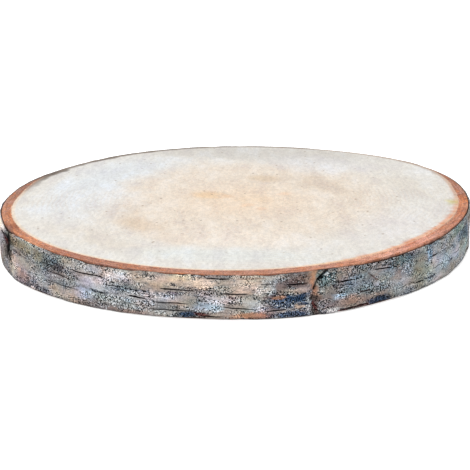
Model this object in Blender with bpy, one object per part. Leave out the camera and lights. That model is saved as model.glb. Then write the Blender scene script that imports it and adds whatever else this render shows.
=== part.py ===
"""A round slice of a birch trunk with its bark on, sawn flat on both faces.

Blender 4.5, metres, +Z up. The slice lies on its lower sawn face, with the middle of that face at
the origin. Directions are degrees about +Z: 0 is +X, and -90 is the side towards the viewer.
"""

from math import cos, degrees, exp, pi, radians, sin
from random import Random

import bmesh
import bpy

MM = 0.001

# Driving dimensions
TRUNK_RADIUS = 148.8 * MM
THICKNESS = 27.5 * MM
INNER_BARK_THICKNESS = 6.2 * MM
OUTER_BARK_THICKNESS = 1.4 * MM

# How finely the bark is divided
COLUMNS = 200
WALL_ROWS = 14
SEED = 27

# Swells and flats round the trunk: direction, height, spread in degrees
TRUNK_SWELLS = (
    (37, 10.6 * MM, 21),
    (-118, 4.8 * MM, 36),
    (-165, 2.0 * MM, 18),
    (-38, -4.6 * MM, 20),
    (146, -1.2 * MM, 22),
    (-88, 1.8 * MM, 38),
    (90, 1.2 * MM, 40),
)
# How far the foot stands out past the top, in the same terms
FOOT_SWELLS = (
    (-143, 3.0 * MM, 11),
    (-95, -2.4 * MM, 12),
    (-32, 1.6 * MM, 12),
    (65, 1.6 * MM, 30),
    (120, -1.4 * MM, 24),
)
# Where the inner bark is thicker, and the far side where it is thin: full thinness within the
# first angle from the middle of that side, full thickness past the second
INNER_BARK_SWELLS = (
    (-85, 0.9 * MM, 35),
    (-30, 0.6 * MM, 12),
    (-140, -0.6 * MM, 12),
)
THIN_INNER_BARK = 1.2 * MM
THIN_SIDE = 92
THIN_REACH = (58, 84)

# The saw and handling break the outer bark's edge, so it starts below the sawn face
RIM_DROP = 0.25 * MM
RIM_CHIPS = (
    (-47, 1.3 * MM, 9),
    (-33, 1.1 * MM, 5),
    (-58, 0.9 * MM, 4),
    (-121, 0.8 * MM, 4),
    (-156.5, 2.0 * MM, 3),
)
FOOT_CHIPS = (
    (-100, 0.9 * MM, 3),
    (-56, 1.0 * MM, 4),
    (-137, 0.8 * MM, 4),
    (-20, 0.7 * MM, 6),
)
CREVICE_DEPTH = 0.6 * MM
CREVICE_WIDTH = 0.4 * MM
EDGE_ROUNDING = 0.5 * MM
# The bark has dried a little below the wood
BARK_SETTLE = 0.3 * MM

# Lenticels, the short level slits of birch bark: direction, height, length
LENTICEL_DEPTH = 0.8 * MM
LENTICEL_LIP = 0.25 * MM
LENTICELS = (
    (-131.0, 14.8 * MM, 20 * MM),
    (-130.8, 9.6 * MM, 27 * MM),
    (-123.7, 19.9 * MM, 25 * MM),
    (-116.3, 16.0 * MM, 12 * MM),
    (-111.4, 11.2 * MM, 11 * MM),
    (-102.7, 17.7 * MM, 20 * MM),
    (-103.8, 9.5 * MM, 20 * MM),
    (-104.0, 5.2 * MM, 26 * MM),
    (-94.0, 25.1 * MM, 13 * MM),
    (-90.8, 15.9 * MM, 16 * MM),
    (-89.8, 7.3 * MM, 19 * MM),
    (-95.5, 2.2 * MM, 14 * MM),
    (-77.4, 20.3 * MM, 13 * MM),
    (-81.7, 5.4 * MM, 12 * MM),
    (-65.8, 18.4 * MM, 12 * MM),
    (-60.7, 10.2 * MM, 8 * MM),
    (-63.5, 2.0 * MM, 20 * MM),
    (-55.6, 21.1 * MM, 14 * MM),
    (-43.0, 5.8 * MM, 10 * MM),
    (-36.4, 17.9 * MM, 9 * MM),
    (-35.0, 10.3 * MM, 14 * MM),
    (-23.0, 11.6 * MM, 15 * MM),
)

# The far side, where slits and chips are drawn at random between these limits
FAR_SIDE = (-12, 178)
FAR_LENTICELS = 40
FAR_LENTICEL_RISE = (0.1 * THICKNESS, 0.9 * THICKNESS)
FAR_LENTICEL_LENGTH = (8 * MM, 22 * MM)
FAR_CHIPS = 9
FAR_CHIP_DEPTH = (0.5 * MM, 1.3 * MM)
FAR_CHIP_SPREAD = (2, 7)

# Vertical cracks in the bark: (direction, height) points from the foot up, spread in degrees, depth
CRACKS = (
    (
        ((-73.0, 0), (-73.4, 10 * MM), (-73.2, 18 * MM), (-72.2, 22 * MM), (-70.3, 27 * MM)),
        1.1,
        1.9 * MM,
    ),
    (((62.0, 0), (61.2, 13 * MM), (63.0, 27 * MM)), 1.1, 1.6 * MM),
    (((139.0, 0), (140.5, 15 * MM), (139.5, 27 * MM)), 1.0, 1.3 * MM),
)
CRACK_SHARE_AT_RIM = 0.2

# Scars where a branch was shed: direction and height of the middle, then the raised collar's
# height, spread in degrees and spread up the wall, then the sunk eye's depth and spreads
BRANCH_SCARS = (
    (-158.5, 16.5 * MM, 1.0 * MM, 6.0, 7.0 * MM, 2.8 * MM, 2.8, 4.0 * MM),
    (104.0, 14 * MM, 0.9 * MM, 5.0, 6.5 * MM, 2.2 * MM, 2.2, 3.8 * MM),
)

# Shallow plates all over the bark, as waves round it and up it with random phases
PLATE_WAVES = 16
PLATE_HEIGHT = 0.12 * MM
WAVES_ROUND = (6, 14)
MORE_EACH_WAVE = 3
HALF_WAVES_UP = (0.8, 2.6)


def linear(srgb_hex):
    """The linear colour of an sRGB hex value, as a Principled BSDF takes it."""
    channels = [int(srgb_hex[i : i + 2], 16) / 255 for i in (0, 2, 4)]
    return [c / 12.92 if c <= 0.04045 else ((c + 0.055) / 1.055) ** 2.4 for c in channels] + [1]


def bell(distance, spread):
    return exp(-0.5 * (distance / spread) ** 2)


def turn(direction, other):
    """Degrees from other to direction, the short way round."""
    return (direction - other + 180) % 360 - 180


def swelling(direction, swells):
    return sum(height * bell(turn(direction, at), spread) for at, height, spread in swells)


def outline(direction, height):
    """The trunk's plain radius there, before the bark's relief."""
    lean = swelling(direction, FOOT_SWELLS) * (1 - height / THICKNESS)
    return TRUNK_RADIUS + swelling(direction, TRUNK_SWELLS) + lean


def inner_bark(direction):
    start, end = THIN_REACH
    share = min(max((abs(turn(direction, THIN_SIDE)) - start) / (end - start), 0), 1)
    thickening = share * share * (3 - 2 * share)
    full = INNER_BARK_THICKNESS + swelling(direction, INNER_BARK_SWELLS)
    return THIN_INNER_BARK + (full - THIN_INNER_BARK) * thickening


def make_plate_waves(rng):
    waves = []
    for index in range(PLATE_WAVES):
        turns = rng.randint(*WAVES_ROUND) + MORE_EACH_WAVE * index
        rise = rng.uniform(*HALF_WAVES_UP) * pi / THICKNESS
        waves.append((turns, rise, rng.uniform(0, 2 * pi), rng.uniform(0, 2 * pi)))
    return waves


def plates(direction, height, waves):
    return sum(
        PLATE_HEIGHT * cos(turns * radians(direction) + turn_phase) * cos(rise * height + rise_phase)
        for turns, rise, turn_phase, rise_phase in waves
    )


def crack_direction(points, height):
    for (low_at, low), (high_at, high) in zip(points, points[1:]):
        if height <= high:
            return low_at + (high_at - low_at) * max(height - low, 0) / (high - low)
    return points[-1][0]


def cracks(direction, height):
    return -sum(
        depth * bell(turn(direction, crack_direction(points, height)), width)
        for points, width, depth in CRACKS
    )


def branch_scars(direction, height):
    total = 0
    for at, middle, collar, collar_turn, collar_rise, eye, eye_turn, eye_rise in BRANCH_SCARS:
        aside = turn(direction, at)
        above = height - middle
        total += collar * bell(aside, collar_turn) * bell(above, collar_rise)
        total -= eye * bell(aside, eye_turn) * bell(above, eye_rise)
    return total


def lenticels(direction, height, row_pitch, slits):
    """Each slit takes the row of points nearest its height, and lifts the rows beside it a little."""
    total = 0
    for at, middle, length in slits:
        half_turn = degrees(length / 2 / TRUNK_RADIUS)
        share = max(0, 1 - (turn(direction, at) / half_turn) ** 2)
        rows_off = abs(height - middle) / row_pitch
        if rows_off <= 0.5:
            total -= LENTICEL_DEPTH * share
        elif rows_off <= 1.5:
            total += LENTICEL_LIP * share
    return total


def ring(bm, points):
    return [bm.verts.new(point) for point in points]


def place(direction, radius, height):
    angle = radians(direction)
    return radius * cos(angle), radius * sin(angle), height


def draw(rng, count, *limits):
    """Rows for the far side: a direction, then one value from each pair of limits."""
    return [
        tuple(rng.uniform(*limit) for limit in (FAR_SIDE, *limits))
        for _ in range(count)
    ]


def slice_rings(rng):
    """Rings of points, from the wood's top edge over the bark and down to the wood's lower edge."""
    waves = make_plate_waves(rng)
    slits = LENTICELS + tuple(draw(rng, FAR_LENTICELS, FAR_LENTICEL_RISE, FAR_LENTICEL_LENGTH))
    rim_chips = RIM_CHIPS + tuple(draw(rng, FAR_CHIPS, FAR_CHIP_DEPTH, FAR_CHIP_SPREAD))
    foot_chips = FOOT_CHIPS + tuple(draw(rng, FAR_CHIPS, FAR_CHIP_DEPTH, FAR_CHIP_SPREAD))
    sections = []
    for column in range(COLUMNS):
        direction = 360 * column / COLUMNS - 180
        rim = THICKNESS - RIM_DROP - swelling(direction, rim_chips)
        foot = RIM_DROP + swelling(direction, foot_chips)
        top_radius = outline(direction, THICKNESS)
        foot_radius = outline(direction, 0)
        paper = top_radius - OUTER_BARK_THICKNESS
        section = [
            (paper - inner_bark(direction), THICKNESS),
            (paper, THICKNESS - BARK_SETTLE),
            (paper + CREVICE_WIDTH, rim - CREVICE_DEPTH),
            (top_radius - EDGE_ROUNDING + CRACK_SHARE_AT_RIM * cracks(direction, rim), rim),
        ]
        row_pitch = (rim - foot - 2 * EDGE_ROUNDING) / (WALL_ROWS - 1)
        for row in range(WALL_ROWS):
            height = rim - EDGE_ROUNDING - row * row_pitch
            relief = plates(direction, height, waves) + cracks(direction, height)
            relief += branch_scars(direction, height) + lenticels(direction, height, row_pitch, slits)
            section.append((outline(direction, height) + relief, height))
        section.append((foot_radius - EDGE_ROUNDING + cracks(direction, foot), foot))
        section.append((foot_radius - OUTER_BARK_THICKNESS - inner_bark(direction), 0))
        sections.append([place(direction, radius, height) for radius, height in section])
    return list(zip(*sections))


def make_materials():
    made = []
    for name, colour, roughness in (
        ("Sawn birch", "E8E2D9", 0.62),
        ("Inner bark", "C08A6C", 0.75),
        ("Outer bark", "8A8585", 0.82),
    ):
        material = bpy.data.materials.new(name)
        material.use_nodes = True
        shader = material.node_tree.nodes["Principled BSDF"]
        shader.inputs["Base Color"].default_value = linear(colour)
        shader.inputs["Roughness"].default_value = roughness
        shader.inputs["Metallic"].default_value = 0
        made.append(material)
    return made


def make_slice():
    bm = bmesh.new()
    rings = [ring(bm, points) for points in slice_rings(Random(SEED))]
    wood, inner, outer = 0, 1, 2
    bm.faces.new(rings[0]).material_index = wood
    for index, (upper, lower) in enumerate(zip(rings, rings[1:])):
        is_inner_bark = index in (0, len(rings) - 2)
        for column in range(COLUMNS):
            after = (column + 1) % COLUMNS
            corners = upper[column], lower[column], lower[after], upper[after]
            bm.faces.new(corners).material_index = inner if is_inner_bark else outer
    bm.faces.new(reversed(rings[-1])).material_index = wood
    centre_on_origin(bm)
    mesh = bpy.data.meshes.new("birch_slice")
    bm.to_mesh(mesh)
    bm.free()
    for material in make_materials():
        mesh.materials.append(material)
    mesh.shade_smooth()
    mesh.set_sharp_from_angle(angle=radians(40))
    slice_object = bpy.data.objects.new("birch_slice", mesh)
    bpy.context.scene.collection.objects.link(slice_object)


def centre_on_origin(bm):
    """Puts the middle of the slice's box, seen from above, on the origin."""
    for axis in (0, 1):
        places = [vert.co[axis] for vert in bm.verts]
        middle = (min(places) + max(places)) / 2
        for vert in bm.verts:
            vert.co[axis] -= middle


for old in list(bpy.data.objects):
    bpy.data.objects.remove(old)
make_slice()
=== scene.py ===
# A birch slice on a white studio floor: pale sawn wood, a copper ring of inner bark, weathered bark.
# Lengths in the dictionaries are millimetres and directions are degrees about +Z, with 0 at +X and
# -90 towards the camera.
from math import cos, degrees, pi, radians, sin
from random import Random

import bpy
import numpy as np
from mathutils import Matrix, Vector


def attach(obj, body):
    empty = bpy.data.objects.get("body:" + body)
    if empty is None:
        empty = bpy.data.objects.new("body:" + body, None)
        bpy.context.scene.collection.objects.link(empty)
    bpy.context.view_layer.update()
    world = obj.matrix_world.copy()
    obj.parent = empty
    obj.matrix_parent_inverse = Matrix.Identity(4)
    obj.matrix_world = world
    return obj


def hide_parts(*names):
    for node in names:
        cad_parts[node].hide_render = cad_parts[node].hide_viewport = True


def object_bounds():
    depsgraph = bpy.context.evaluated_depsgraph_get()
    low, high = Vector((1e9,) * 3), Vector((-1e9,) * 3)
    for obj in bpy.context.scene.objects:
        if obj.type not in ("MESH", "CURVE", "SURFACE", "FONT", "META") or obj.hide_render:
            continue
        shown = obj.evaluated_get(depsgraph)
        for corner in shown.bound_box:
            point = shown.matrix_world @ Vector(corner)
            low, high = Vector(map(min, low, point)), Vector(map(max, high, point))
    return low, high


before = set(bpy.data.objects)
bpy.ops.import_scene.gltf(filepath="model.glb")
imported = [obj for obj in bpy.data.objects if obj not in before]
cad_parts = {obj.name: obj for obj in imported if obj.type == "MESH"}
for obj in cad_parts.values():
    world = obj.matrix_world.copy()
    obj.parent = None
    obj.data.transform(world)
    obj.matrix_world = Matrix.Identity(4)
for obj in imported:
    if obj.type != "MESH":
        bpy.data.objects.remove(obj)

cadBox = [list(corner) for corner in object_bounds()]
mm = 0.001
scene = bpy.context.scene
print("frame loaded")

# The trunk, with the same values as the solid
trunk = {
    "radius": 148.8,
    "thickness": 27.5,
    "innerBark": 6.2,
    "outerBark": 1.4,
    "columns": 200,
    "seed": 27,
    # direction, height, spread
    "swells": (
        (37, 10.6, 21), (-118, 4.8, 36), (-165, 2.0, 18), (-38, -4.6, 20),
        (146, -1.2, 22), (-88, 1.8, 38), (90, 1.2, 40),
    ),
    "footSwells": ((-143, 3.0, 11), (-95, -2.4, 12), (-32, 1.6, 12), (65, 1.6, 30), (120, -1.4, 24)),
    "innerBarkSwells": ((-85, 0.9, 35), (-30, 0.6, 12), (-140, -0.6, 12)),
    "thinInnerBark": 1.2,
    "thinSide": 92,
    "thinReach": (58, 84),
    "rimDrop": 0.25,
    "rimChips": ((-47, 1.3, 9), (-33, 1.1, 5), (-58, 0.9, 4), (-121, 0.8, 4), (-156.5, 2.0, 3)),
    "footChips": ((-100, 0.9, 3), (-56, 1.0, 4), (-137, 0.8, 4), (-20, 0.7, 6)),
    "settle": 0.3,
    # cracks up the bark: (direction, height) points, spread, depth
    "cracks": (
        (((-73.0, 0), (-73.4, 10), (-73.2, 18), (-72.2, 22), (-70.3, 27)), 1.1, 1.9),
        (((62.0, 0), (61.2, 13), (63.0, 27)), 1.1, 1.6),
        (((139.0, 0), (140.5, 15), (139.5, 27)), 1.0, 1.3),
    ),
    # direction, height, collar with its two spreads, eye with its two spreads
    "scars": ((-158.5, 16.5, 1.0, 6.0, 7.0, 2.8, 2.8, 4.0), (104.0, 14, 0.9, 5.0, 6.5, 2.2, 2.2, 3.8)),
    "plateWaves": 16,
    "plateHeight": 0.12,
    "wavesRound": (6, 14),
    "moreEachWave": 3,
    "halfWavesUp": (0.8, 2.6),
    "farSide": (-12, 178),
    "farSlits": 40,
    "farSlitRise": (0.1 * 27.5, 0.9 * 27.5),
    "farSlitLength": (8, 22),
    "farChips": 9,
    "farChipDepth": (0.5, 1.3),
    "farChipSpread": (2, 7),
}
top = trunk["thickness"]
roundMm = 2 * pi * trunk["radius"]      # length once round the bark
mmPerDegree = roundMm / 360


def linear(hexColour):
    channels = [int(hexColour[i : i + 2], 16) / 255 for i in (0, 2, 4)]
    return tuple(c / 12.92 if c <= 0.04045 else ((c + 0.055) / 1.055) ** 2.4 for c in channels)


def bell(distance, spread):
    return np.exp(-0.5 * (distance / spread) ** 2)


def turn(direction, other):
    return (direction - other + 180) % 360 - 180


def softStep(start, end, value):
    share = np.clip((value - start) / (end - start), 0, 1)
    return share * share * (3 - 2 * share)


def blend(first, second, share):
    return first + (second - first) * share


def swelling(direction, swells):
    return sum(height * bell(turn(direction, at), spread) for at, height, spread in swells)


def outline(direction, height):
    lean = swelling(direction, trunk["footSwells"]) * (1 - height / top)
    return trunk["radius"] + swelling(direction, trunk["swells"]) + lean


def innerBarkWidth(direction):
    share = softStep(*trunk["thinReach"], np.abs(turn(direction, trunk["thinSide"])))
    full = trunk["innerBark"] + swelling(direction, trunk["innerBarkSwells"])
    return blend(trunk["thinInnerBark"], full, share)


# Smooth random values from -1 to 1 over the bark, which meet where the trunk closes. A cell is
# so many millimetres long and high.
def barkNoise(direction, height, cellLength, cellHeight, seed):
    around = max(3, round(roundMm / cellLength))
    rows = int(60 / cellHeight) + 4
    values = np.random.default_rng(seed).uniform(-1, 1, (rows, around))
    across = (direction / 360) % 1 * around
    up = (height + 15) / cellHeight
    column = np.floor(across).astype(int)
    row = np.clip(np.floor(up).astype(int), 0, rows - 2)
    acrossShare = across - column
    upShare = np.clip(up - row, 0, 1)
    acrossShare = acrossShare**2 * (3 - 2 * acrossShare)
    upShare = upShare**2 * (3 - 2 * upShare)
    left, right = column % around, (column + 1) % around
    low = blend(values[row, left], values[row, right], acrossShare)
    high = blend(values[row + 1, left], values[row + 1, right], acrossShare)
    return blend(low, high, upShare)


# The solid's own random plates, slits and chips, drawn in the same order
rng = Random(trunk["seed"])
plateWaves = []
for index in range(trunk["plateWaves"]):
    turns = rng.randint(*trunk["wavesRound"]) + trunk["moreEachWave"] * index
    rise = rng.uniform(*trunk["halfWavesUp"]) * pi / top
    plateWaves.append((turns, rise, rng.uniform(0, 2 * pi), rng.uniform(0, 2 * pi)))


def drawFar(count, *limits):
    return [tuple(rng.uniform(*limit) for limit in (trunk["farSide"], *limits)) for _ in range(count)]


farSlits = drawFar(trunk["farSlits"], trunk["farSlitRise"], trunk["farSlitLength"])
rimChips = trunk["rimChips"] + tuple(drawFar(trunk["farChips"], trunk["farChipDepth"], trunk["farChipSpread"]))
footChips = trunk["footChips"] + tuple(drawFar(trunk["farChips"], trunk["farChipDepth"], trunk["farChipSpread"]))


def plates(direction, height):
    return sum(
        trunk["plateHeight"] * np.cos(turns * np.radians(direction) + first) * np.cos(rise * height + second)
        for turns, rise, first, second in plateWaves
    )


def cracks(direction, height):
    total = 0
    for points, spread, depth in trunk["cracks"]:
        at = np.interp(height, [point[1] for point in points], [point[0] for point in points])
        aside = turn(direction, at)
        total = total - 0.75 * depth * bell(aside, spread) - 0.45 * depth * bell(aside, spread * 0.3)
    return total


def scars(direction, height):
    total = 0
    for at, middle, collar, collarTurn, collarRise, eye, eyeTurn, eyeRise in trunk["scars"]:
        aside, above = turn(direction, at), height - middle
        total = total + collar * bell(aside, collarTurn) * bell(above, collarRise)
        total = total - eye * bell(aside, eyeTurn) * bell(above, eyeRise)
        # folds of bark round the eye
        out = np.hypot(aside / eyeTurn, above / eyeRise)
        total = total + 0.22 * np.cos(2 * pi * out / 0.75) * bell(out - 1.6, 0.7)
    return total


# The trunk's own middle, which the solid's box moved off the origin
cadPoints = np.array([vertex.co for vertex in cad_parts["birch_slice"].data.vertices]) / mm
cadRim = np.unique(np.round(cadPoints[cadPoints[:, 2] > top - 0.001], 3), axis=0)
cadTurns = np.arange(trunk["columns"]) * 360 / trunk["columns"] - 180
cadRadius = outline(cadTurns, top) - trunk["outerBark"] - innerBarkWidth(cadTurns)
middle = (
    cadRim[:, 0].mean() - (cadRadius * np.cos(np.radians(cadTurns))).mean(),
    cadRim[:, 1].mean() - (cadRadius * np.sin(np.radians(cadTurns))).mean(),
)
print(f"trunk middle {middle[0]:.3f} {middle[1]:.3f} mm, from {len(cadRim)} points of the solid")


# Points in metres, kept inside the solid's box
def place(direction, radius, height):
    angle = np.radians(direction)
    x = middle[0] + radius * np.cos(angle)
    y = middle[1] + radius * np.sin(angle)
    points = np.stack(np.broadcast_arrays(x, y, height), -1) * mm
    return np.clip(points, np.array(cadBox[0]), np.array(cadBox[1]))


def makeObject(name, points, faces, corners, material):
    mesh = bpy.data.meshes.new(name)
    mesh.from_pydata(points.tolist(), [], faces)
    mesh.uv_layers.new(name="OFBake").data.foreach_set("uv", np.concatenate(corners).ravel())
    mesh.shade_smooth()
    mesh.set_sharp_from_angle(angle=radians(60))
    mesh.materials.append(material)
    made = bpy.data.objects.new(name, mesh)
    scene.collection.objects.link(made)
    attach(made, "root")
    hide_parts("birch_slice")
    return made


def addColours(made, name, colours):
    rgba = np.concatenate([colours, np.ones((len(colours), 1))], 1)
    made.data.color_attributes.new(name, "FLOAT_COLOR", "POINT").data.foreach_set("color", rgba.ravel())


def addValues(made, name, values):
    made.data.attributes.new(name, "FLOAT", "POINT").data.foreach_set("value", values.ravel())


# A closed tube of rows round the trunk, unfolded into strips so that its baked colour stays fine
def makeTube(name, rows, rowShares, strips, material):
    rowCount, columnCount = rows.shape[:2]
    row, column = np.meshgrid(np.arange(rowCount), np.arange(columnCount), indexing="ij")
    nextRow, nextColumn = (row + 1) % rowCount, (column + 1) % columnCount
    faces = np.stack([
        row * columnCount + column, nextRow * columnCount + column,
        nextRow * columnCount + nextColumn, row * columnCount + nextColumn,
    ], -1).reshape(-1, 4)
    edges = np.concatenate([[0], np.cumsum(rowShares)]) / np.sum(rowShares)
    perStrip = columnCount // strips
    strip, inStrip = column // perStrip, column % perStrip
    margin = 0.006
    left = margin + (1 - 2 * margin) * inStrip / perStrip
    right = margin + (1 - 2 * margin) * (inStrip + 1) / perStrip
    upper = 1 - (strip + margin + (1 - 4 * margin) * edges[row]) / strips - margin / strips
    lower = 1 - (strip + margin + (1 - 4 * margin) * edges[row + 1]) / strips - margin / strips
    corners = np.stack([left, upper, left, lower, right, lower, right, upper], -1).reshape(-1, 2)
    return makeObject(name, rows.reshape(-1, 3), faces.tolist(), [corners], material)


# Adds a node, sets what it is given, and links the sockets that are given as sockets
def addNode(tree, kind, settings, sockets, stops=()):
    made = tree.nodes.new(kind)
    for name, value in settings.items():
        setattr(made, name, value)
    for name, value in sockets.items():
        if isinstance(value, bpy.types.NodeSocket):
            tree.links.new(value, made.inputs[name])
        else:
            made.inputs[name].default_value = value
    for index, (position, colour) in enumerate(stops):
        ramp = made.color_ramp.elements
        element = ramp[index] if index < 2 else ramp.new(position)
        element.position = position
        element.color = (*linear(colour), 1)
    return made


def newMaterial(name):
    material = bpy.data.materials.new(name)
    material.use_nodes = True
    tree = material.node_tree
    return material, tree, tree.nodes["Principled BSDF"], tree.nodes.new("ShaderNodeTexCoord").outputs["Object"]


# ---- sawn wood


# Sawn birch, air dried and left bare: a matt, very pale cream face. It shows faint growth rings,
# a warmer heart and short dark flecks of pith.
woodFinish = {
    "roughness": 0.62,
    "ior": 1.5,
    "ringSpacing": 2.9,      # mm a year
    "ringWander": 2.8,       # mm
    "lateWood": "C9AF93",
    "ringShare": 0.2,
    "mottle": 12,            # mm across
    "stroke": 2.6,           # how far the saw drew out the marks
    "fleckSpacing": 5.5,     # mm
    "fleckSize": 0.16,       # share of the spacing; real flecks are finer, drawn coarser so that they show
    "fleckColour": "97806A",
    "hairSpacing": 5,        # mm between brown fibres; real ones are finer, drawn coarser so that they show
    "hairReach": (78, 112),  # mm from the pith, where they fade out
    "hairColour": "C08F62",
    "grain": 1.9,            # mm; the saw's fuzz is finer, drawn coarser so that it shows
}


def makeWoodMaterial():
    material, tree, shader, place3d = newMaterial("Sawn birch wood")
    finish = woodFinish
    tint = addNode(tree, "ShaderNodeAttribute", {"attribute_name": "woodTint"}, {})
    age = addNode(tree, "ShaderNodeAttribute", {"attribute_name": "ringAge"}, {})
    wander = addNode(tree, "ShaderNodeTexNoise", {}, {
        "Vector": place3d, "Scale": 1 / (14 * mm), "Detail": 3, "Roughness": 0.5,
    })
    wandered = addNode(tree, "ShaderNodeMath", {"operation": "MULTIPLY_ADD"}, {
        0: wander.outputs["Fac"], 1: 2 * finish["ringWander"], 2: age.outputs["Fac"],
    })
    years = addNode(tree, "ShaderNodeMath", {"operation": "DIVIDE"}, {
        0: wandered.outputs[0], 1: finish["ringSpacing"],
    })
    inYear = addNode(tree, "ShaderNodeMath", {"operation": "FRACT"}, {0: years.outputs[0]})
    late = addNode(tree, "ShaderNodeValToRGB", {}, {"Fac": inYear.outputs[0]}, [
        (0.0, "000000"), (0.45, "303030"), (0.86, "FFFFFF"), (1.0, "000000"),
    ])
    # rings come and go over the face
    cloud = addNode(tree, "ShaderNodeTexNoise", {}, {
        "Vector": place3d, "Scale": 1 / (45 * mm), "Detail": 2, "Roughness": 0.5,
    })
    clear = addNode(tree, "ShaderNodeMapRange", {}, {
        "Value": cloud.outputs["Fac"], "From Min": 0.42, "From Max": 0.7,
        "To Min": 0.02, "To Max": finish["ringShare"],
    })
    ringShare = addNode(tree, "ShaderNodeMath", {"operation": "MULTIPLY"}, {
        0: late.outputs["Color"], 1: clear.outputs["Result"],
    })
    ringed = addNode(tree, "ShaderNodeMix", {"data_type": "RGBA"}, {
        0: ringShare.outputs[0], 6: tint.outputs["Color"], 7: (*linear(finish["lateWood"]), 1),
    })
    # broad drift between warm and cool, drawn out along the saw's stroke
    sawn = addNode(tree, "ShaderNodeMapping", {}, {"Vector": place3d, "Scale": (1, 1 / finish["stroke"], 1)})
    drift = addNode(tree, "ShaderNodeTexNoise", {}, {
        "Vector": sawn.outputs["Vector"], "Scale": 1 / (finish["mottle"] * mm), "Detail": 4, "Roughness": 0.6,
    })
    driftColour = addNode(tree, "ShaderNodeValToRGB", {}, {"Fac": drift.outputs["Fac"]}, [
        (0.32, "F1EDEB"), (0.68, "FFFFFF"), (0.5, "FAF7F1"),
    ])
    drifted = addNode(tree, "ShaderNodeMix", {"data_type": "RGBA", "blend_type": "MULTIPLY"}, {
        0: 1.0, 6: ringed.outputs[2], 7: driftColour.outputs["Color"],
    })
    # pith flecks: one at most in each cell, small and large ones
    fleck = addNode(tree, "ShaderNodeTexVoronoi", {"feature": "F1"}, {
        "Vector": place3d, "Scale": 1 / (finish["fleckSpacing"] * mm), "Randomness": 1.0,
    })
    fleckCell = addNode(tree, "ShaderNodeSeparateColor", {}, {"Color": fleck.outputs["Color"]})
    fleckSize = addNode(tree, "ShaderNodeMapRange", {}, {
        "Value": fleckCell.outputs["Red"], "From Min": 0.4, "From Max": 1.0, "To Min": -0.04, "To Max": finish["fleckSize"],
    })
    fleckEdge = addNode(tree, "ShaderNodeMath", {"operation": "SUBTRACT"}, {
        0: fleckSize.outputs["Result"], 1: fleck.outputs["Distance"],
    })
    fleckShare = addNode(tree, "ShaderNodeMapRange", {}, {
        "Value": fleckEdge.outputs[0], "From Min": -0.04, "From Max": 0.06, "To Min": 0.0, "To Max": 0.8,
    })
    flecked = addNode(tree, "ShaderNodeMix", {"data_type": "RGBA"}, {
        0: fleckShare.outputs["Result"], 6: drifted.outputs[2], 7: (*linear(finish["fleckColour"]), 1),
    })
    # brown fibres wander through the older wood, more in some places
    hairPlace = addNode(tree, "ShaderNodeMapping", {}, {"Vector": place3d, "Location": (4, 7, 2), "Scale": (1.5, 1, 1)})
    hair = addNode(tree, "ShaderNodeTexNoise", {}, {
        "Vector": hairPlace.outputs["Vector"], "Scale": 1 / (finish["hairSpacing"] * mm), "Detail": 2, "Roughness": 0.6,
    })
    hairSide = addNode(tree, "ShaderNodeMath", {"operation": "SUBTRACT"}, {0: hair.outputs["Fac"], 1: 0.5})
    hairAway = addNode(tree, "ShaderNodeMath", {"operation": "ABSOLUTE"}, {0: hairSide.outputs[0]})
    hairLine = addNode(tree, "ShaderNodeMapRange", {}, {
        "Value": hairAway.outputs[0], "From Min": 0.03, "From Max": 0.006, "To Min": 0.0, "To Max": 0.26,
    })
    hairAge = addNode(tree, "ShaderNodeMapRange", {}, {
        "Value": age.outputs["Fac"], "From Min": finish["hairReach"][0], "From Max": finish["hairReach"][1],
        "To Min": 1.0, "To Max": 0.12,
    })
    hairCloud = addNode(tree, "ShaderNodeMapRange", {}, {
        "Value": drift.outputs["Fac"], "From Min": 0.62, "From Max": 0.44, "To Min": 0.0, "To Max": 1.0,
    })
    hairy = addNode(tree, "ShaderNodeMath", {"operation": "MULTIPLY"}, {
        0: hairLine.outputs["Result"], 1: hairAge.outputs["Result"],
    })
    hairShare = addNode(tree, "ShaderNodeMath", {"operation": "MULTIPLY"}, {0: hairy.outputs[0], 1: hairCloud.outputs["Result"]})
    haired = addNode(tree, "ShaderNodeMix", {"data_type": "RGBA"}, {
        0: hairShare.outputs[0], 6: flecked.outputs[2], 7: (*linear(finish["hairColour"]), 1),
    })
    grain = addNode(tree, "ShaderNodeTexNoise", {}, {
        "Vector": sawn.outputs["Vector"], "Scale": 1 / (finish["grain"] * mm), "Detail": 3, "Roughness": 0.85,
    })
    grainTone = addNode(tree, "ShaderNodeMapRange", {}, {
        "Value": grain.outputs["Fac"], "From Min": 0.28, "From Max": 0.72, "To Min": 0.83, "To Max": 1.17,
    })
    toned = addNode(tree, "ShaderNodeMix", {"data_type": "RGBA", "blend_type": "MULTIPLY"}, {
        0: 1.0, 6: haired.outputs[2], 7: grainTone.outputs["Result"],
    })
    tree.links.new(toned.outputs[2], shader.inputs["Base Color"])
    roughness = addNode(tree, "ShaderNodeMapRange", {}, {
        "Value": grain.outputs["Fac"], "From Min": 0.3, "From Max": 0.7,
        "To Min": finish["roughness"] - 0.06, "To Max": finish["roughness"] + 0.08,
    })
    tree.links.new(roughness.outputs["Result"], shader.inputs["Roughness"])
    shader.inputs["IOR"].default_value = finish["ior"]
    height = addNode(tree, "ShaderNodeMath", {"operation": "MULTIPLY_ADD"}, {
        0: late.outputs["Color"], 1: 0.35, 2: grain.outputs["Fac"],
    })
    bump = addNode(tree, "ShaderNodeBump", {}, {
        "Strength": 0.35, "Distance": 0.08 * mm, "Height": height.outputs[0],
    })
    tree.links.new(bump.outputs["Normal"], shader.inputs["Normal"])
    return material


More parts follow.
